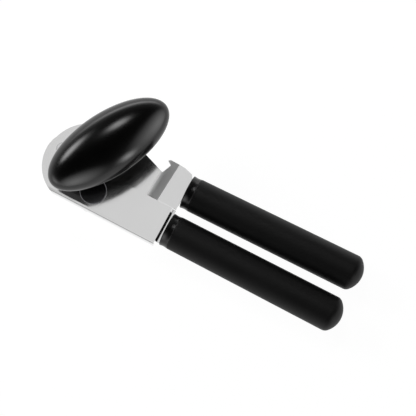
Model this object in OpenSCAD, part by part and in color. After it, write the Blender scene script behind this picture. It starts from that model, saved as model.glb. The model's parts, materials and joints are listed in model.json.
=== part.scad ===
// Manual can opener. Two steel plates pivot at the nose. The upper plate carries the
// cutting wheel, and the lower plate carries the toothed feed wheel and the big knob
// that turns it. Each plate runs into a plastic handle core under a soft round grip.
// Sizes are in millimetres. The origin is the centre of the cutter axle's flat lower
// end, on the plane that the opener rests on. +X runs from the nose to the handle
// ends, +Y towards the drive handle, and +Z up towards the knob.

/* [Plates] */
// Thickness of the sheet steel of both plates
sheet_t = 1.6; // [1.2:0.1:2]
// Height of the lower plate's underside above the rest plane
lower_z = 10.8; // [10.4:0.1:13]
// Gap between the plates where one passes over the other
plate_gap = 0.2; // [0.1:0.05:0.4]
// Distance from the cutter axle to the handle end of the upper plate
plate_len = 43.7; // [40:0.1:60]
// Distance from the cutter axle to the line where the plates butt
seam_y = 12.1; // [11.5:0.1:14]
// Gap between the butted edges
seam_gap = 0.15; // [0.1:0.05:0.4]
// Radius of the upper plate's rounded nose
nose_r = 23; // [22:0.1:26]
// Distance from the nose arc's centre to the butted edge
nose_side = 1.9; // [1.5:0.1:2.5]
// Distance from the nose arc's centre back to the cutter axle
nose_back = 12.4; // [11:0.1:14]
// Distance from the cutter axle to the folded flange's outer face
flange_y = 11.2; // [11:0.1:13]
// Height of the flange, from the plate's top to its lower edge
flange_h = 6.5; // [4:0.1:7]
// Outer radius of the flange's fold
fold_r = 2; // [1.9:0.1:3]
// Width of the lower plate from the butted edge to its straight outer edge
lower_w = 21.5; // [20:0.1:26]
// How far the lower plate reaches in under the upper one
lap = 4; // [3:0.1:5]
// Radius of the lower plate's rounded nose
lower_nose_r = 25.6; // [24:0.1:27]
// Distance from that nose arc's centre to the butted edge
lower_nose_side = 1.2; // [0.5:0.1:2.5]
// Distance from that nose arc's centre back to the cutter axle
lower_nose_back = 9.4; // [8:0.1:11]
// Depth of the recess in the upper plate's butted edge
recess_d = 3; // [2:0.1:4]
// Distance from the cutter axle to the recess's front end
recess_front = 11.2; // [9:0.1:14]
// Length of the slanted edge at that end
recess_ramp = 3.8; // [3:0.1:6]
// Distance from the cutter axle back to the recess's other end
recess_back = 14.4; // [10:0.1:15]

/* [Plate bends] */
// Length of the sloping step down to the upper plate's tang
step_run = 1.1; // [1:0.1:3]
// Distance from the upper plate's end to the front of its handle collar
collar_gap = 2.6; // [2.4:0.1:6]
// Length of the sloping step that lifts the lower plate
joggle_run = 6.4; // [5.5:0.1:7.5]
// Bend radius of the sheet where the joggle starts to rise
joggle_bend_r = 7; // [4:0.5:8]
// Distance from the lower plate's step to the front of its handle collar
joggle_back = 17.9; // [17:0.1:19]
// Angle of that step across the plate, in degrees
joggle_skew = 3.8; // [0:0.1:6]

/* [Bottle opener] */
// Distance from the collar back to the notch's inner corner
notch_back = 17.4; // [16:0.1:20]
// Depth of the notch, from the lower plate's outer edge
notch_depth = 5.7; // [4.5:0.1:7]
// Length of the sloping edge that leads into the notch
notch_lead = 15.9; // [12:0.1:18]
// How far the hook stands out past the outer edge
hook_out = 2.7; // [2:0.1:4]

/* [Pivot] */
// Distance from the cutter axle to the pivot, along the opener
pivot_back = 27.4; // [26:0.1:30]
// Distance from the butted edges to the pivot, across the opener
pivot_side = 1.4; // [0.5:0.1:2]
// Radius of the rivet's shank
pivot_r = 2.3; // [1.8:0.1:3]
// Radius of the rivet's heads
pivot_head_r = 3.4; // [3.2:0.1:5]
// Height of the rivet's upper head
pivot_head_h = 0.8; // [0.5:0.1:1.5]
// Radius of the upper plate's lobe around the pivot
lobe_r = 7.5; // [6.5:0.1:8]

/* [Cutting wheel] */
// Radius of the cutting edge
cutter_r = 11.2; // [9.5:0.1:11.6]
// Radius of the wheel's hub
cutter_hub_r = 6.6; // [6:0.1:7.5]
// Radius of the axle
axle_r = 3; // [2.4:0.1:3.4]
// Radius of the axle's upper disc
axle_disc_r = 7.6; // [6:0.1:8.5]
// Height of the axle's upper disc
axle_disc_h = 1.1; // [0.8:0.1:1.4]
// Height of the axle's lower head
axle_head_h = 1.4; // [1:0.1:1.5]

/* [Feed wheel and shaft] */
// Outer radius of the feed wheel's teeth
feed_r = 12.9; // [10.7:0.1:15.5]
// Number of teeth on the feed wheel
feed_teeth = 40; // [24:1:48]
// Depth of the teeth
tooth_depth = 1; // [0.6:0.1:1.4]
// Thickness of the feed wheel
feed_t = 4; // [3.2:0.1:4]
// Distance from the cutter axle back to the drive shaft, along the opener
shaft_back = 0.8; // [0:0.1:3]
// How far the two wheels' edges overlap, seen from above
wheel_overlap = 0.4; // [0.2:0.1:0.8]
// Radius of the drive shaft where it turns in its bushing
shaft_r = 3.2; // [3:0.1:4]
// Wall of the bushing
bushing_wall = 1.4; // [1:0.1:2]

/* [Knob] */
// Length of the knob
knob_len = 75; // [60:0.5:90]
// Width of the knob
knob_w = 34; // [30:0.5:40]
// Angle of the knob's length from +X at rest, in degrees
knob_angle = 62.5; // [0:0.5:180]
// Height of the knob's underside above the upper plate
knob_lift = 14.8; // [10:0.1:18]
// Depth of the knob's lower shell
knob_base_h = 3.2; // [3:0.1:5]
// How far the upper shell curves in below the knob's widest height
knob_rim_h = 5; // [4:0.1:6]
// Height of the knob above its widest height
knob_cap_h = 13.5; // [12:0.5:17]
// Wall of the knob's shells
knob_wall = 2.4; // [2:0.1:3]
// Radius of the hub under the knob
hub_r = 8.5; // [7.5:0.1:9.5]

/* [Handles] */
// Length of a grip
grip_len = 104; // [85:1:125]
// Radius of a grip at its collar
grip_r = 9.8; // [9.4:0.1:11]
// Radius of a grip at its far end
grip_end_r = 10.25; // [10:0.05:12]
// Height of the rounded end of a grip
dome_h = 5.3; // [4:0.1:7]
// Radius of the collar in front of a grip
collar_r = 9.5; // [9.2:0.1:10]
// Length of the collar
collar_len = 4.7; // [4:0.1:7]
// Depth of the collar's waist
collar_waist = 0.35; // [0.1:0.05:0.6]
// Radius of the core inside a grip
core_r = 8; // [7:0.1:8.2]
// Length of a plate's tang inside its core
tang_len = 36; // [30:1:50]
// Width of a tang
tang_w = 12; // [9:0.5:12]
// Radius of the pins through a tang
pin_r = 1.5; // [1:0.1:2]
// Distance from the butted edges to the drive handle's centre at its collar
drive_side = 12.7; // [12:0.1:15]
// Distance from the butted edges to the cutter handle's centre at its collar
cutter_side = 11.4; // [10.5:0.1:13]
// Angle of the drive handle from +X, in degrees
drive_splay = 1.1; // [0:0.1:5]
// Angle of the cutter handle from +X, in degrees
cutter_splay = 0.1; // [-3:0.1:0.5]

/* [Fits] */
// Radial clearance of a part that turns on a pin or shaft
run_fit = 0.05; // [0.02:0.01:0.08]
// Gap between flat faces that turn past each other
face_gap = 0.1; // [0.1:0.05:0.2]
// Gap around a tang in its slot
slot_gap = 0.1; // [0.05:0.05:0.2]

/* [Hidden] */
$fn = 64;

// Colours
steel = [0.80, 0.80, 0.80];
dark_steel = [0.45, 0.46, 0.48];
bronze = [0.72, 0.56, 0.30];
gloss_black = [0.06, 0.06, 0.06];
soft_black = [0.12, 0.12, 0.12];

// Small enough to vanish, large enough to make cuts clean
eps = 0.5;

// Heights of the sheet metal
lower_top = lower_z + sheet_t;
top_z = lower_top + plate_gap;
deck_z = top_z + sheet_t;

// Places along and across the opener
collar_x = plate_len + collar_gap;
handle_z = grip_end_r;
tang_z = handle_z - sheet_t / 2;
cutter_y = seam_y - cutter_side;
drive_y = seam_y + drive_side;
pivot = [-pivot_back, seam_y + pivot_side];
nose = [-nose_back, seam_y - nose_side];
fold_y = -flange_y + fold_r;
outer_y = seam_y + lower_w;

// Cutter stack, from the axle's lower head up
axle_head_r = axle_r + 2;
spring_h = 0.9;
cutter_z = axle_head_h + spring_h + face_gap;
cutter_h = 4;
cutter_top = cutter_z + cutter_h;
edge_h = 0.2;
cutter_bush_r = axle_r + run_fit + 1.1;
spacer_z = cutter_top + face_gap;
spacer_r = axle_r + 1.6;

// Feed stack, from the lower plate down
wheel_gap = cutter_r + feed_r - wheel_overlap;
shaft_y = sqrt(wheel_gap * wheel_gap - shaft_back * shaft_back);
feed_top = lower_z - 2 * face_gap;
feed_z = feed_top - feed_t;
feed_key = 4.4;
feed_washer_h = 0.6;
nut_top = feed_z - feed_washer_h;
nut_flats = 8;
stud_r = 2;
bushing_bore = shaft_r + run_fit;
bushing_r = bushing_bore + bushing_wall;
bushing_flange_r = bushing_r + 2;
bushing_flange_h = 1;
bushing_top = lower_top + bushing_flange_h;
washer_z = bushing_top + face_gap;
washer_h = 0.6;
shoulder_z = washer_z + washer_h;
shoulder_h = 1.2;
hub_z = shoulder_z + shoulder_h;
knob_z = deck_z + knob_lift;
seam_z = knob_z + knob_base_h;
wide_z = seam_z + knob_rim_h;
drive_key = 5.4;
key_top = knob_z + knob_wall + 2;
knob_washer_h = 0.8;
screw_r = 1.9;
screw_head_r = 3.4;
screw_head_h = 2.2;
screw_depth = 10;

// Pivot stack under the lower plate
pivot_washer_h = 0.7;
pivot_washer_z = lower_z - face_gap - pivot_washer_h;
pivot_peen_h = 1.1;

// Handles
core_len = grip_len + collar_len - dome_h - 6;
pin_places = [12, 28];
pin_h = 2 * core_r - 1;

// ---------- Shared shapes ----------

// A flat ring standing on height z
module ring(z, h, outer, inner) {
    translate([0, 0, z]) difference() {
        cylinder(h = h, r = outer);
        translate([0, 0, -eps]) cylinder(h = h + 2 * eps, r = inner);
    }
}

// Moves children to the drive shaft's axis
module at_shaft() {
    translate([-shaft_back, shaft_y, 0]) children();
}

// Moves children to the pivot's axis
module at_pivot() {
    translate([pivot[0], pivot[1], 0]) children();
}

// Moves children to a handle's centre line at its collar, with +X along the handle
module at_handle(y, splay) {
    translate([collar_x, y, handle_z]) rotate([0, 0, splay]) children();
}

// A plate's tang: a flat strip along a handle, its underside at height z
module tang(y, splay, z, gap = 0) {
    at_handle(y, splay) translate([-slot_gap * 6, -tang_w / 2 - gap, z - handle_z - gap])
        cube([tang_len + slot_gap * 6 + gap, tang_w + 2 * gap, sheet_t + 2 * gap]);
}

// The upright pins that lock a tang in its core
module tang_pins(y, splay, h = pin_h) {
    at_handle(y, splay) for (x = pin_places)
        translate([x, 0, -h / 2]) cylinder(h = h, r = pin_r);
}

// ---------- Upper plate ----------

module top_outline() {
    recess_y = seam_y - recess_d;
    difference() {
        union() {
            at_pivot() circle(r = lobe_r);
            intersection() {
                translate(nose) circle(r = nose_r);
                union() {
                    translate([nose[0] - nose_r, -flange_y])
                        square([nose_r, seam_y + flange_y]);
                    translate([pivot[0] - nose_r, 0]) square([nose_r, pivot[1]]);
                }
            }
            translate([nose[0] - 1, -flange_y])
                square([plate_len - nose[0] + 1, seam_y + flange_y]);
        }
        // recess beside the hub, its front end slanted in two runs
        polygon([[-recess_back, recess_y], [recess_front, recess_y],
            [recess_front + recess_ramp / 2, recess_y + recess_d * 0.75],
            [recess_front + recess_ramp, seam_y], [recess_front + recess_ramp, seam_y + recess_d],
            [-recess_back, seam_y + recess_d]]);
    }
}

// Points of an arc of radius r around centre c, from angle a0 to a1
function arc(c, r, a0, a1, steps = 8) =
    [for (i = [0 : steps]) let (a = a0 + (a1 - a0) * i / steps)
        [c[0] + r * cos(a), c[1] + r * sin(a)]];

// Side view of the folded sheet, drawn in Y and Z
module folded_profile() {
    centre = [fold_y, deck_z - fold_r];
    foot_z = deck_z - flange_h;
    polygon(concat([[seam_y + lobe_r * 2, top_z], [seam_y + lobe_r * 2, deck_z]],
        arc(centre, fold_r, 90, 180), [[-flange_y, foot_z], [-flange_y + sheet_t, foot_z]],
        arc(centre, fold_r - sheet_t, 180, 90)));
}

// The plate with its flange: the outline cut from folded sheet
module folded_plate() {
    span = plate_len + nose_back + 2 * nose_r;
    intersection() {
        translate([0, 0, deck_z - flange_h - eps])
            linear_extrude(flange_h + 2 * eps) top_outline();
        translate([plate_len - span, 0, 0]) rotate([90, 0, 90])
            linear_extrude(span + eps) folded_profile();
    }
}

// The step from the plate down to the tang
module tang_step() {
    drop = top_z - tang_z;
    lean = sheet_t * tan(atan2(drop, step_run) / 2);
    end_x = collar_x - slot_gap * 3;
    side = 0.6;
    translate([0, seam_y, 0]) rotate([90, 0, 0]) linear_extrude(seam_y - fold_y - side)
        polygon([[plate_len - 2, deck_z], [plate_len, deck_z],
            [plate_len + step_run, tang_z + sheet_t], [end_x, tang_z + sheet_t],
            [end_x, tang_z], [plate_len + step_run - lean, tang_z],
            [plate_len - lean, top_z], [plate_len - 2, top_z]]);
}

module top_plate() {
    color(steel) difference() {
        union() {
            folded_plate();
            tang_step();
            tang(cutter_y, cutter_splay, tang_z);
        }
        at_pivot() translate([0, 0, top_z - eps]) cylinder(h = sheet_t + 2 * eps, r = pivot_r);
        translate([0, 0, top_z - eps]) cylinder(h = sheet_t + 2 * eps, r = axle_r);
        tang_pins(cutter_y, cutter_splay);
    }
}

// ---------- Pivot ----------

module pivot_rivet() {
    color(steel) at_pivot() {
        translate([0, 0, pivot_washer_z - pivot_peen_h])
            cylinder(h = pivot_peen_h, r1 = pivot_head_r - 0.5, r2 = pivot_head_r);
        translate([0, 0, pivot_washer_z]) cylinder(h = deck_z - pivot_washer_z, r = pivot_r);
        translate([0, 0, deck_z])
            cylinder(h = pivot_head_h, r1 = pivot_head_r, r2 = pivot_head_r - 0.6);
    }
}

module pivot_washer() {
    color(steel) at_pivot() ring(pivot_washer_z, pivot_washer_h, pivot_head_r + 1.4, pivot_r);
}

// ---------- Cutting wheel ----------

module cutter_axle() {
    edge = 0.3;
    color(dark_steel) {
        cylinder(h = edge, r1 = axle_head_r - edge, r2 = axle_head_r);
        translate([0, 0, edge]) cylinder(h = axle_head_h - edge, r = axle_head_r);
        translate([0, 0, axle_head_h]) cylinder(h = deck_z - axle_head_h, r = axle_r);
        translate([0, 0, deck_z]) cylinder(h = axle_disc_h - edge, r = axle_disc_r);
        translate([0, 0, deck_z + axle_disc_h - edge])
            cylinder(h = edge, r1 = axle_disc_r, r2 = axle_disc_r - edge);
    }
}

module cutter_spacer() {
    color(steel) ring(spacer_z, top_z - spacer_z, spacer_r, axle_r);
}

// A dished spring ring that keeps the wheel up against its spacer
module cutter_spring_washer() {
    wall = 0.35;
    color(dark_steel) rotate_extrude() polygon([[axle_r, axle_head_h],
        [axle_r + 0.5, axle_head_h], [axle_head_r, axle_head_h + spring_h - wall],
        [axle_head_r, axle_head_h + spring_h], [axle_r, axle_head_h + wall]]);
}

// The disc, flat on top and ground to an edge from below
module cutter_wheel() {
    rim_z = cutter_top - edge_h;
    body_z = cutter_top - 2;
    color(steel) rotate_extrude() polygon([[cutter_bush_r, cutter_z],
        [cutter_hub_r - 0.4, cutter_z], [cutter_hub_r, cutter_z + 0.4],
        [cutter_hub_r, body_z], [cutter_r - 2.6, body_z], [cutter_r, rim_z],
        [cutter_r - edge_h, cutter_top], [cutter_bush_r, cutter_top]]);
}

module cutter_bushing() {
    color(bronze) ring(cutter_z, cutter_h, cutter_bush_r, axle_r + run_fit);
}

// ---------- Lower plate ----------

module lower_outline() {
    notch = [collar_x - notch_back, outer_y - notch_depth];
    hook_root = [notch[0] + 2.5, outer_y];
    hook_y = outer_y + hook_out;
    hook_blunt = 0.6;
    hook_fall = 0.7;
    end_x = collar_x - slot_gap * 3;
    corner = [end_x - 1.4, outer_y + 0.5];
    corner_y = outer_y - 1.9;
    edge_y = seam_y + seam_gap;
    back_y = seam_y - lap;
    nose_c = [-lower_nose_back, seam_y - lower_nose_side];
    lap_x = collar_x - joggle_back - 1;
    // round nose, lapping under the upper plate
    intersection() {
        translate(nose_c) circle(r = lower_nose_r);
        translate([nose_c[0] - 2 * lower_nose_r, back_y])
            square([2 * lower_nose_r, outer_y - back_y]);
    }
    // the plate behind it
    polygon([[nose_c[0] - 1, back_y], [lap_x, back_y], [lap_x, edge_y], [end_x, edge_y],
        [end_x, corner_y], [hook_root[0], corner_y], hook_root, notch,
        [notch[0] - notch_lead, outer_y], [nose_c[0] - 1, outer_y]]);
    // hook of the bottle opener
    polygon([[hook_root[0], corner_y - 0.1], hook_root, [notch[0], hook_y - 2 * hook_blunt],
        [notch[0], hook_y - hook_blunt], [notch[0] + 2 * hook_blunt, hook_y],
        [end_x - 6.6, hook_y - hook_fall], corner, [end_x, corner_y], [end_x, corner_y - 0.1]]);
}

// Side view of the stepped sheet, drawn in X and Z: a round bend, a straight rise, then flat
module lower_profile() {
    rise = deck_z - lower_top;
    start = -joggle_back;
    far = joggle_back;
    near = -collar_x - 2 * nose_r - pivot_back;
    centre = [start, lower_top + joggle_bend_r];
    reach = norm([joggle_run, rise - joggle_bend_r]);
    slope = atan2(rise - joggle_bend_r, joggle_run) + asin(joggle_bend_r / reach);
    under_r = joggle_bend_r + sheet_t;
    under_end = centre + under_r * [sin(slope), -cos(slope)];
    under_x = under_end[0] + (top_z - under_end[1]) / tan(slope);
    polygon(concat([[near, lower_z]], arc(centre, under_r, -90, slope - 90),
        [[under_x, top_z], [far, top_z], [far, deck_z], [start + joggle_run, deck_z]],
        arc(centre, joggle_bend_r, slope - 90, -90), [[near, lower_top]]));
}

module lower_plate() {
    span = 2 * (lower_w + hook_out);
    color(steel) difference() {
        union() {
            intersection() {
                translate([0, 0, lower_z - eps])
                    linear_extrude(deck_z - lower_z + 2 * eps) lower_outline();
                translate([collar_x, outer_y - lower_w / 2, 0]) rotate([0, 0, -joggle_skew])
                    translate([0, span, 0]) rotate([90, 0, 0])
                        linear_extrude(2 * span) lower_profile();
            }
            tang(drive_y, drive_splay, top_z);
        }
        at_pivot() translate([0, 0, lower_z - eps])
            cylinder(h = sheet_t + 2 * eps, r = pivot_r + run_fit);
        at_shaft() translate([0, 0, lower_z - eps])
            cylinder(h = sheet_t + 2 * eps, r = bushing_r);
        tang_pins(drive_y, drive_splay);
    }
}

// ---------- Drive shaft and feed wheel ----------

module shaft_bushing() {
    color(bronze) at_shaft() difference() {
        union() {
            translate([0, 0, lower_z]) cylinder(h = sheet_t, r = bushing_r);
            translate([0, 0, lower_top]) cylinder(h = bushing_flange_h, r = bushing_flange_r);
        }
        translate([0, 0, lower_z - eps])
            cylinder(h = sheet_t + bushing_flange_h + 2 * eps, r = bushing_bore);
    }
}

// A square bar of side s standing on height z
module key(z, h, s) {
    translate([-s / 2, -s / 2, z]) cube([s, s, h]);
}

module drive_shaft() {
    stud_h = nut_flats * 0.45;
    color(steel) at_shaft() difference() {
        union() {
            translate([0, 0, nut_top - stud_h])
                cylinder(h = stud_h + feed_washer_h, r = stud_r);
            key(feed_z, feed_t, feed_key);
            translate([0, 0, feed_top]) cylinder(h = shoulder_z - feed_top, r = shaft_r);
            translate([0, 0, shoulder_z]) cylinder(h = shoulder_h, r = shaft_r + 2);
            key(hub_z, key_top - hub_z, drive_key);
        }
        translate([0, 0, key_top - screw_depth]) cylinder(h = screw_depth + eps, r = screw_r);
    }
}

module shaft_washer() {
    color(steel) at_shaft() ring(washer_z, washer_h, bushing_flange_r - 0.4, shaft_r);
}

module feed_wheel() {
    half = 180 / feed_teeth;
    color(dark_steel) at_shaft() difference() {
        union() {
            translate([0, 0, feed_z]) linear_extrude(feed_t - 0.8)
                polygon([for (i = [0 : 2 * feed_teeth - 1])
                    let (r = feed_r - (i % 2) * tooth_depth)
                        [r * cos(i * half), r * sin(i * half)]]);
            translate([0, 0, feed_top - 0.8]) cylinder(h = 0.8, r = feed_r - 2);
        }
        key(feed_z - eps, feed_t + 2 * eps, feed_key);
    }
}

module feed_washer() {
    color(steel) at_shaft() ring(nut_top, feed_washer_h, nut_flats * 0.7, stud_r);
}

// A closed hexagon nut with a domed end that reaches the rest plane
module feed_nut() {
    hex_h = nut_flats * 0.45;
    dome_r = nut_flats / 2 - 0.3;
    color(steel) at_shaft() difference() {
        union() {
            translate([0, 0, nut_top - hex_h])
                cylinder(h = hex_h, r = nut_flats / 2 / cos(30), $fn = 6);
            intersection() {
                translate([0, 0, dome_r]) sphere(r = dome_r);
                cylinder(h = nut_top - hex_h, r = dome_r);
            }
            if (nut_top - hex_h > dome_r)
                translate([0, 0, dome_r]) cylinder(h = nut_top - hex_h - dome_r, r = dome_r);
        }
        translate([0, 0, nut_top - hex_h]) cylinder(h = hex_h + eps, r = stud_r);
    }
}

// ---------- Knob ----------

// Half of an oval pebble, flat side down: length l, width w, height h
module half_pebble(l, w, h) {
    resize([l, w, h]) rotate_extrude($fn = 56) intersection() {
        circle(r = 10, $fn = 40);
        square(10);
    }
}

// The knob's hollow pebble between heights z0 and z1, measured from its widest height
module knob_wall_between(z0, z1) {
    under = knob_rim_h + knob_base_h;
    in_l = knob_len - 2 * knob_wall;
    in_w = knob_w - 2 * knob_wall;
    translate([-shaft_back, shaft_y, wide_z]) rotate([0, 0, knob_angle]) intersection() {
        difference() {
            union() {
                half_pebble(knob_len, knob_w, knob_cap_h);
                mirror([0, 0, 1]) half_pebble(knob_len, knob_w, under);
            }
            half_pebble(in_l, in_w, knob_cap_h - knob_wall);
            mirror([0, 0, 1]) half_pebble(in_l, in_w, under - knob_wall);
        }
        translate([-knob_len, -knob_len, z0]) cube([2 * knob_len, 2 * knob_len, z1 - z0]);
    }
}

module knob_base() {
    color(gloss_black) difference() {
        union() {
            knob_wall_between(-knob_rim_h - knob_base_h - eps, -knob_rim_h);
            at_shaft() translate([0, 0, hub_z]) cylinder(h = key_top - hub_z, r = hub_r);
        }
        at_shaft() key(hub_z - eps, key_top - hub_z + 2 * eps, drive_key);
    }
}

module knob_washer() {
    color(steel) at_shaft() ring(key_top, knob_washer_h, screw_head_r + 1.2, screw_r);
}

module knob_screw() {
    head_z = key_top + knob_washer_h;
    socket_r = 1.6;
    color(dark_steel) at_shaft() difference() {
        union() {
            translate([0, 0, head_z]) cylinder(h = screw_head_h, r = screw_head_r);
            translate([0, 0, key_top - screw_depth + 1])
                cylinder(h = screw_depth - 1 + knob_washer_h, r = screw_r);
        }
        translate([0, 0, head_z + screw_head_h / 2])
            cylinder(h = screw_head_h, r = socket_r, $fn = 6);
    }
}

module knob_cap() {
    color(gloss_black) knob_wall_between(-knob_rim_h, knob_cap_h + eps);
}

// ---------- Handles ----------

// Waisted outline of the collar, then the core inside the grip
function core_profile(steps = 10) = concat([[0, 0]],
    [for (i = [0 : steps]) let (s = i / steps)
        [collar_r - collar_waist * sin(180 * s), collar_len * s]],
    [[core_r, collar_len], [core_r, core_len - 3], [core_r - 3, core_len], [0, core_len]]);

// Outline of the grip: a tapered tube, closed by a rounded end
function grip_profile(steps = 10) =
    let (start = collar_len, end = collar_len + grip_len, lip = 0.6,
        dome_r = (grip_end_r * grip_end_r + dome_h * dome_h) / (2 * dome_h),
        sweep = asin(grip_end_r / dome_r))
    concat([[core_r, start], [grip_r - lip, start], [grip_r, start + lip]],
        [for (i = [0 : steps]) let (a = sweep * (1 - i / steps))
            [i == steps ? 0 : dome_r * sin(a), end - dome_r + dome_r * cos(a)]],
        [[0, core_len], [core_r - 3, core_len], [core_r, core_len - 3]]);

module handle_core(y, splay, z) {
    color(gloss_black) difference() {
        at_handle(y, splay) rotate([0, 90, 0]) rotate_extrude() polygon(core_profile());
        tang(y, splay, z, slot_gap);
        tang_pins(y, splay);
    }
}

module handle_grip(y, splay) {
    color(soft_black) at_handle(y, splay) rotate([0, 90, 0])
        rotate_extrude() polygon(grip_profile());
}

module cutter_core() {
    handle_core(cutter_y, cutter_splay, tang_z);
}

module cutter_grip() {
    handle_grip(cutter_y, cutter_splay);
}

module cutter_tang_pins() {
    color(steel) tang_pins(cutter_y, cutter_splay);
}

module drive_core() {
    handle_core(drive_y, drive_splay, top_z);
}

module drive_grip() {
    handle_grip(drive_y, drive_splay);
}

module drive_tang_pins() {
    color(steel) tang_pins(drive_y, drive_splay);
}

top_plate();
pivot_rivet();
pivot_washer();
cutter_axle();
cutter_spacer();
cutter_spring_washer();
cutter_wheel();
cutter_bushing();
cutter_core();
cutter_grip();
cutter_tang_pins();
lower_plate();
shaft_bushing();
drive_core();
drive_grip();
drive_tang_pins();
drive_shaft();
shaft_washer();
feed_wheel();
feed_washer();
feed_nut();
knob_base();
knob_washer();
knob_screw();
knob_cap();
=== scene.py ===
import json
import math
import bpy
import bmesh
from mathutils import Matrix, Vector

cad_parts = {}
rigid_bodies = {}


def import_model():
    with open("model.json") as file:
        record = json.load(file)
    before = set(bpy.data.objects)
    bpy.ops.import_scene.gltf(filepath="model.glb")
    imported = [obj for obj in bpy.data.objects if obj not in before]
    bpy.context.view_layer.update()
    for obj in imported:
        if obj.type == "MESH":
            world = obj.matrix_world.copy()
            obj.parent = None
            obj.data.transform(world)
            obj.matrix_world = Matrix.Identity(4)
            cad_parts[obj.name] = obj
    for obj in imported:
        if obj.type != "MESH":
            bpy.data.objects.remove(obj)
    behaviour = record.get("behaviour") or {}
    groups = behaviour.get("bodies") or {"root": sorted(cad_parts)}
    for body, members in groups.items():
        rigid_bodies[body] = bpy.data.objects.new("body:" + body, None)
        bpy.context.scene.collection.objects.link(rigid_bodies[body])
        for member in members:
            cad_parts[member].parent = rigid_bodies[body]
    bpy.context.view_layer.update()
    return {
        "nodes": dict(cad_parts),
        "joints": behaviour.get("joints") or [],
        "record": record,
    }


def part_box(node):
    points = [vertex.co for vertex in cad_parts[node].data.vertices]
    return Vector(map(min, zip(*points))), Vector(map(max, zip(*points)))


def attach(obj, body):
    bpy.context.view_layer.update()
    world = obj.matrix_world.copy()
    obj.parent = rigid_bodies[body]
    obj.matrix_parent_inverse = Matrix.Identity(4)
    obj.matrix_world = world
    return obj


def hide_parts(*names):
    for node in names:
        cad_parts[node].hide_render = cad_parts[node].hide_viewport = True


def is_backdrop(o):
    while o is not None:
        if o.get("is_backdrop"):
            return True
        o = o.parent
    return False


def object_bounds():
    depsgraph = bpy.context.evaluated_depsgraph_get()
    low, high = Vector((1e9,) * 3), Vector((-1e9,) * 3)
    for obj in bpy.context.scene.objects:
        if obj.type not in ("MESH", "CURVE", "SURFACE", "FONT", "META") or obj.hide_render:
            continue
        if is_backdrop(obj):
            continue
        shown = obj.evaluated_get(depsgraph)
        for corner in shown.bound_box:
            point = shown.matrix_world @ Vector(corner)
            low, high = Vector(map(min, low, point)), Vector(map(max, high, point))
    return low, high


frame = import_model()
nodes = frame["nodes"]
scene = bpy.context.scene
MM = 0.001


# ---------- places taken from the frame ----------

def joint_place(name):
    return Vector(next(j["pos_m"] for j in frame["joints"] if j["name"] == name))


SHAFT = joint_place("knob_turn")
HUB_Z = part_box("knob_base")[0].z
SEAM_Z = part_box("knob_cap")[0].z
KNOB_TOP_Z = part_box("knob_cap")[1].z


# ---------- node helpers ----------

def new_material(name):
    """An empty node material with one Principled shader."""
    m = bpy.data.materials.new(name)
    m.use_nodes = True
    t = m.node_tree
    t.nodes.clear()
    out = t.nodes.new("ShaderNodeOutputMaterial")
    shader = t.nodes.new("ShaderNodeBsdfPrincipled")
    t.links.new(shader.outputs[0], out.inputs[0])
    return m, t, shader


def coords(t):
    """Object coordinates in metres."""
    return t.nodes.new("ShaderNodeTexCoord").outputs["Object"]


def noise(t, scale, detail, rough):
    """Noise over the object's own coordinates; scale is in cells a metre."""
    n = t.nodes.new("ShaderNodeTexNoise")
    n.inputs["Scale"].default_value = scale
    n.inputs["Detail"].default_value = detail
    n.inputs["Roughness"].default_value = rough
    t.links.new(coords(t), n.inputs["Vector"])
    return n.outputs["Fac"]


def ramp(t, fac, low, high, out_low, out_high):
    """Maps low..high of fac to out_low..out_high, and no further."""
    r = t.nodes.new("ShaderNodeMapRange")
    r.inputs["From Min"].default_value = low
    r.inputs["From Max"].default_value = high
    r.inputs["To Min"].default_value = out_low
    r.inputs["To Max"].default_value = out_high
    t.links.new(fac, r.inputs["Value"])
    return r.outputs["Result"]


def maths(t, op, a, b=0.0):
    """One Math node; a and b are numbers or sockets."""
    n = t.nodes.new("ShaderNodeMath")
    n.operation = op
    for k, v in enumerate((a, b)):
        if isinstance(v, (int, float)):
            n.inputs[k].default_value = v
        else:
            t.links.new(v, n.inputs[k])
    return n.outputs[0]


def mix_colour(t, fac, a, b):
    n = t.nodes.new("ShaderNodeMix")
    n.data_type = "RGBA"
    n.inputs["A"].default_value = (*a, 1)
    n.inputs["B"].default_value = (*b, 1)
    t.links.new(fac, n.inputs["Factor"])
    return n.outputs["Result"]


def bump(t, height, strength, distance, normal=None):
    n = t.nodes.new("ShaderNodeBump")
    n.inputs["Strength"].default_value = strength
    n.inputs["Distance"].default_value = distance
    t.links.new(height, n.inputs["Height"])
    if normal is not None:
        t.links.new(normal, n.inputs["Normal"])
    return n.outputs["Normal"]


# ---------- materials ----------

BEND_FRONT_X = 28.0 * MM
BEND_END_X = 34.8 * MM
BEND_MIDDLE_Y = 22.9 * MM
BEND_SKEW = math.tan(math.radians(3.8))
SEAM_Y = 12.2 * MM
BEND_SATIN = 0.42
STEEL_GRAIN_BUMP = 0.02
STEEL_WEAR = 0.25
STEEL_GRAIN_ROUGH = 0.012
ORANGE_PEEL = 0.03
PLASTIC_IOR = 1.5
RUBBER_SHINE = 0.22


def bend_mask(t):
    """1 over the pressed bend across the lower plate, fading in along its round front."""
    split = t.nodes.new("ShaderNodeSeparateXYZ")
    t.links.new(coords(t), split.inputs[0])
    x, y = split.outputs["X"], split.outputs["Y"]
    across = maths(t, "SUBTRACT", y, BEND_MIDDLE_Y)
    skewed = maths(t, "SUBTRACT", x, maths(t, "MULTIPLY", across, BEND_SKEW))
    rise = ramp(t, skewed, BEND_FRONT_X - 1.0 * MM, BEND_FRONT_X + 1.6 * MM, 0, 1)
    fall = ramp(t, skewed, BEND_END_X, BEND_END_X + 0.3 * MM, 1, 0)
    beyond_seam = maths(t, "GREATER_THAN", y, SEAM_Y)
    return maths(t, "MULTIPLY", maths(t, "MULTIPLY", rise, fall), beyond_seam)


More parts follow.
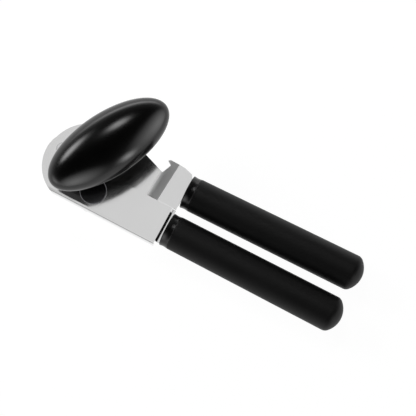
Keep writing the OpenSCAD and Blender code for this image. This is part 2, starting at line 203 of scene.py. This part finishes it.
def steel(name, tone, rough, bend=False):
    """Polished sheet or turned steel: fine grain, cloudy polish and a few rubbed spots."""
    m, t, s = new_material(name)
    fine = noise(t, 900.0, 4.0, 0.6)
    cloud = noise(t, 55.0, 3.0, 0.55)
    dull_tone = tuple(c * 0.97 for c in tone)
    base = mix_colour(t, ramp(t, cloud, 0.3, 0.7, 0, 1), dull_tone, tone)
    t.links.new(base, s.inputs["Base Color"])
    s.inputs["Metallic"].default_value = 1.0
    polish = ramp(t, cloud, 0.3, 0.75, rough * 0.85, rough * (1 + STEEL_WEAR))
    grain = ramp(t, fine, 0.3, 0.7, -STEEL_GRAIN_ROUGH, STEEL_GRAIN_ROUGH)
    r = maths(t, "ADD", polish, grain)
    if bend:
        r = maths(t, "ADD", r, maths(t, "MULTIPLY", bend_mask(t), BEND_SATIN))
    t.links.new(r, s.inputs["Roughness"])
    t.links.new(bump(t, fine, STEEL_GRAIN_BUMP, 0.02 * MM), s.inputs["Normal"])
    return m


def plastic(name, tone, rough, shine):
    """Moulded black plastic: faint orange peel, handling haze in the roughness."""
    m, t, s = new_material(name)
    cloud = noise(t, 40.0, 3.0, 0.5)
    peel = noise(t, 650.0, 2.0, 0.5)
    pale_tone = tuple(c * 1.5 for c in tone)
    base = mix_colour(t, ramp(t, cloud, 0.3, 0.7, 0, 1), tone, pale_tone)
    t.links.new(base, s.inputs["Base Color"])
    t.links.new(ramp(t, cloud, 0.3, 0.75, rough * 0.92, rough * 1.12), s.inputs["Roughness"])
    t.links.new(bump(t, peel, ORANGE_PEEL, 0.05 * MM), s.inputs["Normal"])
    s.inputs["IOR"].default_value = PLASTIC_IOR
    s.inputs["Specular IOR Level"].default_value = shine
    return m


def rubber(name, tone):
    """Soft matte grip: fine moulded grain, slightly polished where it is held."""
    m, t, s = new_material(name)
    grain = noise(t, 2600.0, 2.0, 0.6)
    pores = noise(t, 900.0, 3.0, 0.6)
    cloud = noise(t, 30.0, 3.0, 0.5)
    pale_tone = tuple(c * 1.3 for c in tone)
    base = mix_colour(t, ramp(t, cloud, 0.3, 0.7, 0, 1), tone, pale_tone)
    t.links.new(base, s.inputs["Base Color"])
    t.links.new(ramp(t, cloud, 0.3, 0.75, 0.50, 0.60), s.inputs["Roughness"])
    porous = bump(t, pores, 0.12, 0.08 * MM)
    t.links.new(bump(t, grain, 0.25, 0.05 * MM, porous), s.inputs["Normal"])
    s.inputs["Specular IOR Level"].default_value = RUBBER_SHINE
    return m


PLATE = steel("plate_steel", (0.80, 0.80, 0.80), 0.13, bend=True)
RIVET = steel("rivet_steel", (0.76, 0.76, 0.77), 0.18)
HARD = steel("hardened_steel", (0.55, 0.56, 0.57), 0.24)
DARK = steel("dark_steel", (0.18, 0.18, 0.19), 0.16)
BRONZE = steel("bearing_bronze", (0.66, 0.50, 0.28), 0.30)
BLACK = (0.001, 0.001, 0.001)
KNOB = plastic("knob_plastic", BLACK, 0.2, 0.45)
KNOB_UNDER_SIDE = plastic("knob_plastic_under", BLACK, 0.3, 0.12)
COLLAR = plastic("core_plastic", BLACK, 0.3, 0.35)
GRIP = rubber("grip_rubber", (0.004, 0.004, 0.004))
BY_SLOT = {
    "plate_steel": PLATE, "rivet_steel": RIVET, "hardened_steel": HARD, "dark_steel": DARK,
    "bearing_bronze": BRONZE, "knob_plastic": KNOB, "core_plastic": COLLAR, "grip_rubber": GRIP,
}
SLOT_OF = {p["node"]: p["material_slot"] for p in frame["record"]["subparts"]}


# ---------- CAD nodes that stay ----------

# Width of the rounded edges in millimetres, where it isn't the usual one.
USUAL_BEVEL = 0.12
BEVEL = {"top_plate": 0.25, "pivot_rivet": 0.3, "cutter_axle": 0.04}
REPLACED = {"knob_base", "knob_cap", "cutter_grip", "drive_grip", "cutter_core", "drive_core"}


def soften_edges(obj, width):
    """Merges split corners and rounds every sharp edge a little."""
    weld = obj.modifiers.new("weld", "WELD")
    weld.merge_threshold = 1e-6
    bev = obj.modifiers.new("edges", "BEVEL")
    bev.width = width * MM
    bev.segments = 3
    bev.limit_method = "ANGLE"
    bev.angle_limit = math.radians(35)
    bev.harden_normals = True
    bev.use_clamp_overlap = True


for name, obj in nodes.items():
    obj.data.materials.clear()
    obj.data.materials.append(BY_SLOT[SLOT_OF[name]])
    if name not in REPLACED:
        soften_edges(obj, BEVEL.get(name, USUAL_BEVEL))


# ---------- mesh helpers ----------

def add_object(name, bm, mat, smooth=True):
    """Turns mesh data into an object in the scene."""
    mesh = bpy.data.meshes.new(name)
    bm.normal_update()
    bm.to_mesh(mesh)
    bm.free()
    obj = bpy.data.objects.new(name, mesh)
    scene.collection.objects.link(obj)
    obj.data.materials.append(mat)
    if smooth:
        mesh.polygons.foreach_set("use_smooth", [True] * len(mesh.polygons))
    return obj


def lathe(profile, around):
    """Turns (r, z) points round the Z axis; a point with r 0 becomes a pole."""
    bm = bmesh.new()
    rings = []
    for r, z in profile:
        if r < 1e-9:
            rings.append([bm.verts.new((0, 0, z))])
            continue
        ring = []
        for k in range(around):
            a = 2 * math.pi * k / around
            ring.append(bm.verts.new((r * math.cos(a), r * math.sin(a), z)))
        rings.append(ring)
    for low, high in zip(rings, rings[1:]):
        for k in range(around):
            n = (k + 1) % around
            if len(low) == 1:
                bm.faces.new((low[0], high[k], high[n]))
            elif len(high) == 1:
                bm.faces.new((low[k], high[0], low[n]))
            else:
                bm.faces.new((low[k], high[k], high[n], low[n]))
    bmesh.ops.recalc_face_normals(bm, faces=bm.faces)
    return bm


def fillet(corner, before, after, r, steps=5):
    """Points of a rounded corner between two straight runs."""
    c, b, a = Vector(corner), Vector(before), Vector(after)
    p, q = c + (b - c).normalized() * r, c + (a - c).normalized() * r
    pts = []
    for k in range(steps + 1):
        u = k / steps
        pts.append((p * (1 - u) ** 2 + c * 2 * u * (1 - u) + q * u * u)[:])
    return pts


# ---------- knob ----------

KNOB_ANGLE = math.radians(62.5)
KNOB_LEN = 76.2 * MM
KNOB_W = 35 * MM
KNOB_RIM = 5 * MM
KNOB_UNDER = 8.2 * MM
KNOB_GAP = 0.15 * MM
HUB_R = 8.5 * MM
WIDE_Z = SEAM_Z + KNOB_RIM


def under_radius(depth):
    """Half-length of the knob at a depth below its widest height."""
    return KNOB_LEN / 2 * math.sqrt(1 - (depth / KNOB_UNDER) ** 2)


def upper_profile():
    """The big shell: a rounded lip at the seam, the curved-in rim, then up to the pole."""
    lip = 0.5 * MM
    rim_r = under_radius(KNOB_RIM)
    inner = rim_r - 2.4 * MM
    pts = [(inner, SEAM_Z + 1.2 * MM)]
    pts += fillet((inner, SEAM_Z), (inner, SEAM_Z + 1.2 * MM), (rim_r, SEAM_Z), lip * 0.6)
    top_of_lip = (under_radius(KNOB_RIM - 0.8 * MM), SEAM_Z + 0.8 * MM)
    pts += fillet((rim_r, SEAM_Z), (inner, SEAM_Z), top_of_lip, lip, 7)
    for k in range(1, 13):
        depth = (KNOB_RIM - 0.8 * MM) * (1 - k / 12)
        pts.append((under_radius(depth), WIDE_Z - depth))
    height = KNOB_TOP_Z - WIDE_Z
    for k in range(1, 33):
        a = math.pi / 2 * k / 32
        r = 0.0 if k == 32 else KNOB_LEN / 2 * math.cos(a)
        pts.append((r, WIDE_Z + height * math.sin(a)))
    return pts


def lower_profile():
    """The cover under the knob, set in a little from the big shell's rim."""
    inset = 0.45 * MM
    top_z = SEAM_Z + 0.6 * MM
    edge_r = under_radius(KNOB_RIM) - inset
    pts = [(edge_r - 0.3 * MM, top_z), (edge_r, top_z - 0.3 * MM), (edge_r, SEAM_Z - KNOB_GAP)]
    for k in range(1, 25):
        a = math.pi / 2 * k / 24
        depth = KNOB_RIM + KNOB_GAP + (KNOB_UNDER - KNOB_RIM - KNOB_GAP) * math.sin(a)
        r = 0.0 if k == 24 else min(edge_r, under_radius(depth) - inset * 0.3)
        pts.append((r, WIDE_Z - depth))
    return pts


def squeeze_to_oval(bm):
    """Narrows a round form to the knob's width and turns it into place."""
    turn = Matrix.Rotation(KNOB_ANGLE, 4, "Z")
    for v in bm.verts:
        v.co = turn @ Vector((v.co.x, v.co.y * KNOB_W / KNOB_LEN, v.co.z))
        v.co += Vector((SHAFT.x, SHAFT.y, 0))


def make_shell(name, node, profile, mat):
    """One of the knob's two shells, in place of its CAD node."""
    bm = lathe(profile, 160)
    squeeze_to_oval(bm)
    shell = add_object(name, bm, mat)
    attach(shell, "knob")
    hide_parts(node)


def make_hub():
    """The round column under the knob, flared where it meets the cover."""
    flare = 3 * MM
    under_z = WIDE_Z - KNOB_UNDER + 0.4 * MM
    pts = [(0, HUB_Z)]
    pts += fillet((HUB_R, HUB_Z), (0, HUB_Z), (HUB_R, under_z), 0.6 * MM)
    pts.append((HUB_R, under_z - flare))
    for k in range(1, 8):
        a = math.pi / 2 * k / 7
        pts.append((HUB_R + flare * (1 - math.cos(a)), under_z - flare + flare * math.sin(a)))
    pts.append((0, under_z))
    bm = lathe(pts, 96)
    bmesh.ops.translate(bm, vec=(SHAFT.x, SHAFT.y, 0), verts=bm.verts)
    hub = add_object("knob_hub", bm, KNOB_UNDER_SIDE)
    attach(hub, "knob")


# ---------- handles ----------

COLLAR_R = 9.75 * MM
COLLAR_LEN = 4.7 * MM
COLLAR_WAIST = 0.25 * MM
GRIP_LEN = 104 * MM
GRIP_R = 9.8 * MM
GRIP_END_R = 10.25 * MM
DOME_H = 5.3 * MM


def handle_line(grip):
    """Front of the collar on a handle's centre line, and the handle's direction."""
    co = [v.co for v in nodes[grip].data.vertices]
    first_x = min(c.x for c in co)
    near = [c for c in co if c.x < first_x + 4 * MM]
    middle = sum(near, Vector()) / len(near)
    tip = max(co, key=lambda c: c.x)
    axis = Vector((tip.x - middle.x, tip.y - middle.y, 0)).normalized()
    start = Vector(tip) - axis * (COLLAR_LEN + GRIP_LEN)
    return start, axis


def collar_profile():
    """The bare end of the core: rounded lips round a shallow waist."""
    pts = [(0, 0)]
    pts += fillet((COLLAR_R, 0), (0, 0), (COLLAR_R, COLLAR_LEN), 0.45 * MM)
    steps = 14
    first = 0.5 * MM
    for k in range(1, steps):
        u = k / steps
        r = COLLAR_R - COLLAR_WAIST * math.sin(math.pi * u)
        pts.append((r, first + (COLLAR_LEN - first) * u))
    pts += [(COLLAR_R - 0.05 * MM, COLLAR_LEN), (COLLAR_R - 1.2 * MM, COLLAR_LEN + 0.3 * MM)]
    pts.append((0, COLLAR_LEN + 0.3 * MM))
    return pts


def dome_points():
    """From the grip's side, over a rolled edge, to the middle of its rounded end."""
    end = COLLAR_LEN + GRIP_LEN
    big = (GRIP_END_R ** 2 + DOME_H ** 2) / (2 * DOME_H)
    roll = math.asin(GRIP_END_R / big) * 0.86
    corner = Vector((GRIP_END_R, end - DOME_H))
    side = Vector((GRIP_END_R - 0.02 * MM, end - DOME_H - 1.6 * MM))
    top = Vector((big * math.sin(roll), end - big + big * math.cos(roll)))
    pts = []
    for k in range(9):
        u = k / 8
        pts.append((side * (1 - u) ** 2 + corner * 2 * u * (1 - u) + top * u * u)[:])
    for k in range(1, 20):
        a = roll * (1 - k / 19)
        pts.append((big * math.sin(a) if k < 19 else 0.0, end - big + big * math.cos(a)))
    return pts


def grip_profile():
    """The soft sleeve: a rolled front lip, a slight taper and the rounded end."""
    front = COLLAR_LEN + 0.02 * MM
    body = front + 1.5 * MM
    back = COLLAR_LEN + GRIP_LEN - DOME_H - 1.6 * MM
    pts = [(8.0 * MM, front + 0.4 * MM), (8.6 * MM, front)]
    pts += fillet((GRIP_R, front), (8.6 * MM, front), (GRIP_R, front + 4 * MM), 0.4 * MM, 6)
    steps = 24
    for k in range(1, steps):
        u = k / steps
        pts.append((GRIP_R + (GRIP_END_R - GRIP_R) * u, body + (back - body) * u))
    return pts + dome_points()


def turned_piece(name, node, profile, line, look, body):
    """A piece turned about a handle's line, in place of its CAD node."""
    start, axis = line
    bm = lathe(profile, 128)
    along = axis.to_track_quat("Z", "Y").to_matrix().to_4x4()
    bmesh.ops.transform(bm, matrix=Matrix.Translation(start) @ along, verts=bm.verts)
    obj = add_object(name, bm, BY_SLOT[look])
    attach(obj, body)
    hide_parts(node)


def make_handle(side):
    """Collar and soft grip of the cutter's or the drive's handle."""
    line = handle_line(side + "_grip")
    body = side + "_handle"
    turned_piece(side + "_collar", side + "_core", collar_profile(), line, "core_plastic", body)
    turned_piece(side + "_soft_grip", side + "_grip", grip_profile(), line, "grip_rubber", body)


make_shell("knob_upper_shell", "knob_cap", upper_profile(), KNOB)
make_shell("knob_lower_shell", "knob_base", lower_profile(), KNOB_UNDER_SIDE)
make_hub()
make_handle("cutter")
make_handle("drive")


# ---------- floor, lights, camera ----------

CAM_AZ = 27.7
CAM_EL = 79.24
CAM_DIST = 0.65
AIM = Vector((0.06137, 0.02135, 0.0142))
LENS = 100.66
CARD_DIST = 1.1


def back_vector(az, el):
    """Unit vector towards azimuth az and elevation el, in degrees; azimuth 0 is -Y."""
    a, e = math.radians(az), math.radians(el)
    return Vector((math.sin(a) * math.cos(e), -math.cos(a) * math.cos(e), math.sin(e)))


def make_floor():
    """A pale floor, half a millimetre under the lowest piece."""
    m, _, s = new_material("floor_white")
    s.inputs["Base Color"].default_value = (0.1, 0.1, 0.1, 1)
    s.inputs["Roughness"].default_value = 0.9
    s.inputs["Specular IOR Level"].default_value = 0.0
    s.inputs["Emission Color"].default_value = (1, 1, 1, 1)
    s.inputs["Emission Strength"].default_value = 0.97
    bm = bmesh.new()
    bmesh.ops.create_grid(bm, x_segments=1, y_segments=1, size=3.0)
    floor = add_object("floor", bm, m, False)
    floor.location.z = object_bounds()[0][2] - 0.0005
    floor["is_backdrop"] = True
    return floor


def make_camera():
    """The photograph's viewing angle."""
    cam = bpy.data.objects.new("camera", bpy.data.cameras.new("camera"))
    scene.collection.objects.link(cam)
    back = back_vector(CAM_AZ, CAM_EL)
    cam.location = AIM + back * CAM_DIST
    cam.rotation_euler = back.to_track_quat("Z", "Y").to_euler()
    cam.data.lens = LENS
    cam.data.sensor_width = 36.0
    cam.data.clip_start = 0.01
    scene.camera = cam


def soften_light(light, soft):
    """Fades a light out towards its rim, over the given share of its radius."""
    light.use_nodes = True
    t = light.node_tree
    place = t.nodes.new("ShaderNodeNewGeometry")
    split = t.nodes.new("ShaderNodeSeparateXYZ")
    t.links.new(place.outputs["Parametric"], split.inputs[0])
    squares = []
    for side in ("X", "Y"):
        offset = maths(t, "SUBTRACT", split.outputs[side], 0.5)
        squares.append(maths(t, "MULTIPLY", offset, offset))
    reach = maths(t, "SQRT", maths(t, "ADD", *squares))
    emission = t.nodes["Emission"]
    t.links.new(ramp(t, reach, 0.5 * (1 - soft), 0.5, 1, 0), emission.inputs["Strength"])


def card(name, az, el, wide, high, radiance, only, soft=0.4):
    """A soft-edged light, wide by high degrees seen from the object, that reaches one group."""
    light = bpy.data.lights.new(name, "AREA")
    light.shape = "ELLIPSE"
    light.size = 2 * CARD_DIST * math.tan(math.radians(wide / 2))
    light.size_y = 2 * CARD_DIST * math.tan(math.radians(high / 2))
    light.energy = radiance * math.pi * (math.pi / 4) * light.size * light.size_y
    soften_light(light, soft)
    obj = bpy.data.objects.new(name, light)
    scene.collection.objects.link(obj)
    back = back_vector(az, el)
    obj.location = AIM + back * CARD_DIST
    obj.rotation_euler = back.to_track_quat("Z", "Y").to_euler()
    obj.visible_camera = False
    obj.light_linking.receiver_collection = only


def make_world():
    """A studio that is pale at the horizon and dark overhead; stops are (height, brightness)."""
    w = bpy.data.worlds.new("studio")
    w.use_nodes = True
    t = w.node_tree
    c = t.nodes.new("ShaderNodeTexCoord")
    split = t.nodes.new("ShaderNodeSeparateXYZ")
    t.links.new(c.outputs["Generated"], split.inputs[0])
    r = t.nodes.new("ShaderNodeValToRGB")
    stops = ((0.0, 0.8), (0.12, 0.55), (0.35, 0.15), (0.6, 0.015), (0.9, 0.003))
    ramp_stops = r.color_ramp.elements
    ramp_stops[0].position, ramp_stops[1].position = stops[0][0], stops[-1][0]
    for height, _ in stops[1:-1]:
        ramp_stops.new(height)
    for e, (_, v) in zip(ramp_stops, stops):
        e.color = (v, v, v, 1)
    t.links.new(split.outputs["Z"], r.inputs["Fac"])
    t.links.new(r.outputs["Color"], t.nodes["Background"].inputs["Color"])
    scene.world = w


def light_group(name, objects):
    """A collection of the only objects that some light reaches."""
    group = bpy.data.collections.new(name)
    for obj in objects:
        group.objects.link(obj)
    return group


def pieces(*names):
    """The objects of these names."""
    return [bpy.data.objects[n] for n in names]


STEEL = [obj for name, obj in nodes.items() if SLOT_OF[name].endswith("steel")]
KNOB_TOP = pieces("knob_upper_shell")
KNOB_BELOW = pieces("knob_lower_shell", "knob_hub")
COLLARS = pieces("cutter_collar", "drive_collar")
SOFT = pieces("cutter_soft_grip", "drive_soft_grip")
FLOOR = make_floor()
STEEL_ONLY = light_group("lit_steel", STEEL)
NOT_GLOSSY = light_group("lit_steel_and_grips", STEEL + SOFT)
GLOSSY_TOPS = light_group("lit_gloss", KNOB_TOP + COLLARS)
NOT_STEEL = light_group("lit_dark_parts", KNOB_TOP + KNOB_BELOW + COLLARS + SOFT + [FLOOR])
make_camera()
make_world()
card("overhead_card", 207.7, 79.2, 56, 56, 0.77, NOT_GLOSSY)
card("front_overhead_card", 8, 50, 66, 56, 0.85, STEEL_ONLY)
card("left_fill", 268, 42, 86, 50, 0.85, STEEL_ONLY)
card("back_fill", 182, 30, 76, 46, 0.55, STEEL_ONLY)
card("right_fill", 110, 36, 84, 60, 0.55, STEEL_ONLY)
card("front_fill", 30, 24, 60, 40, 0.55, STEEL_ONLY)
card("left_softbox", 266, 32, 32, 20, 8.8, NOT_STEEL, soft=0.5)
card("back_softbox", 220, 54, 19, 19, 8.4, NOT_STEEL, soft=0.6)
card("right_strip", 71, 18, 13, 36, 8.0, NOT_STEEL, soft=0.8)
card("front_softbox", 18, 22, 66, 64, 3.2, GLOSSY_TOPS, soft=0.9)
card("front_left_card", 328, 8, 56, 24, 2.0, NOT_STEEL, soft=0.8)
card("right_softbox", 118, 25, 84, 70, 3.3, GLOSSY_TOPS, soft=0.9)
card("low_back_card", 214, 3, 90, 18, 2.8, NOT_STEEL, soft=0.6)
scene.view_settings.view_transform = "Standard"
